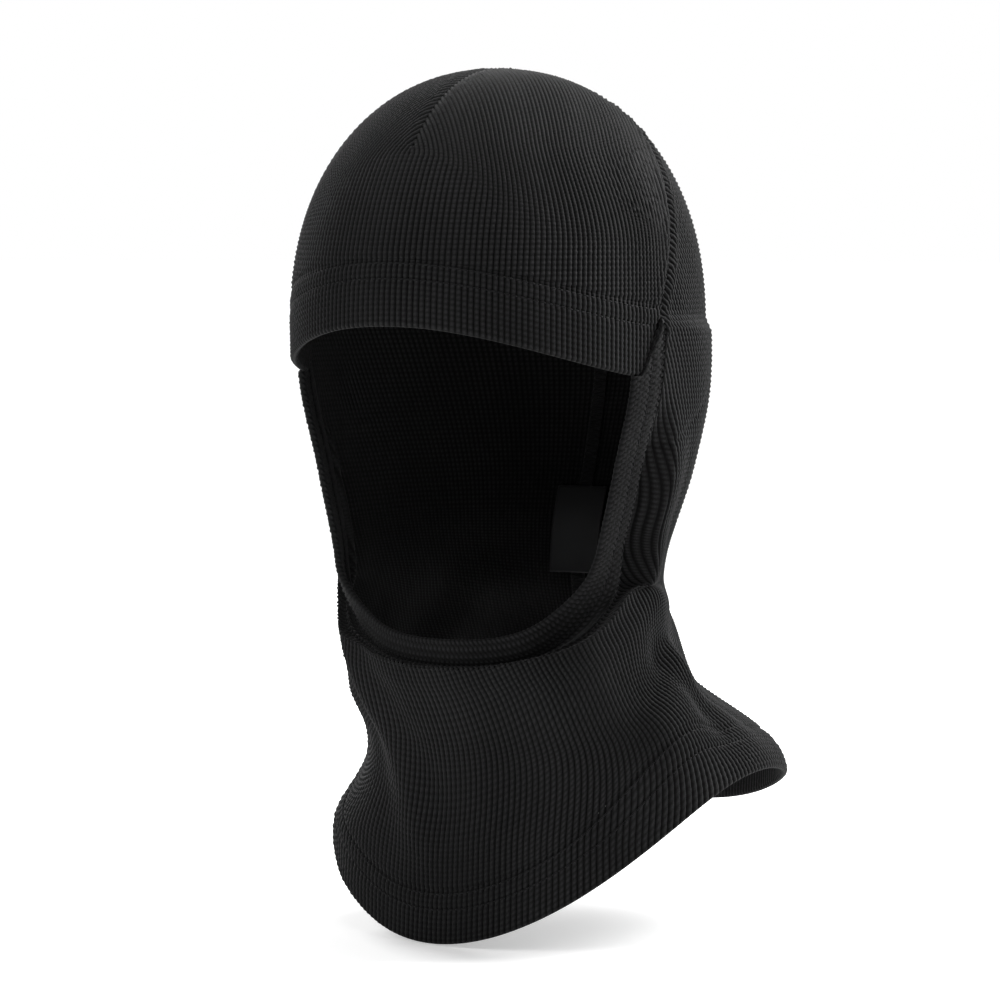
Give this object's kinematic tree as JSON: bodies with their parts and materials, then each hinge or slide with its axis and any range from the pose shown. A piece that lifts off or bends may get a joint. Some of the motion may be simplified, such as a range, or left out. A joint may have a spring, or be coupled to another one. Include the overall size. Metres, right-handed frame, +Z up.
{
  "type": "balaclava",
  "caption": "Open-face balaclava in ribbed thermal knit: a darted cap panel sewn to a hood panel that runs down over the neck into a flared bib.",
  "frame": {"origin": "centre of the wearer's head at the level of the brow corners of the face opening", "axes": "+Z up to the crown, -Y the way the face looks, +X the wearer's left"},
  "size_m": [0.1754, 0.2249, 0.3514],
  "materials": {
    "rib_knit": "matt ribbed knit with a soft dry sheen",
    "sewing_thread": "matt spun thread",
    "label_tape": "matt woven tape, blank"
  },
  "bodies": {
    "root": {"cap_panel": "rib_knit", "hood_panel": "rib_knit", "forehead_hem_ply": "rib_knit", "face_hem_ply": "rib_knit", "bottom_hem_ply": "rib_knit", "cap_seam_allowance": "rib_knit", "dart_allowance": "rib_knit", "back_seam_allowance": "rib_knit", "forehead_cover_stitch": "sewing_thread", "face_cover_stitch": "sewing_thread", "bottom_cover_stitch": "sewing_thread", "cap_seam_overlock": "sewing_thread", "dart_overlock": "sewing_thread", "back_seam_overlock": "sewing_thread", "care_label": "label_tape"}
  },
  "joints": []
}
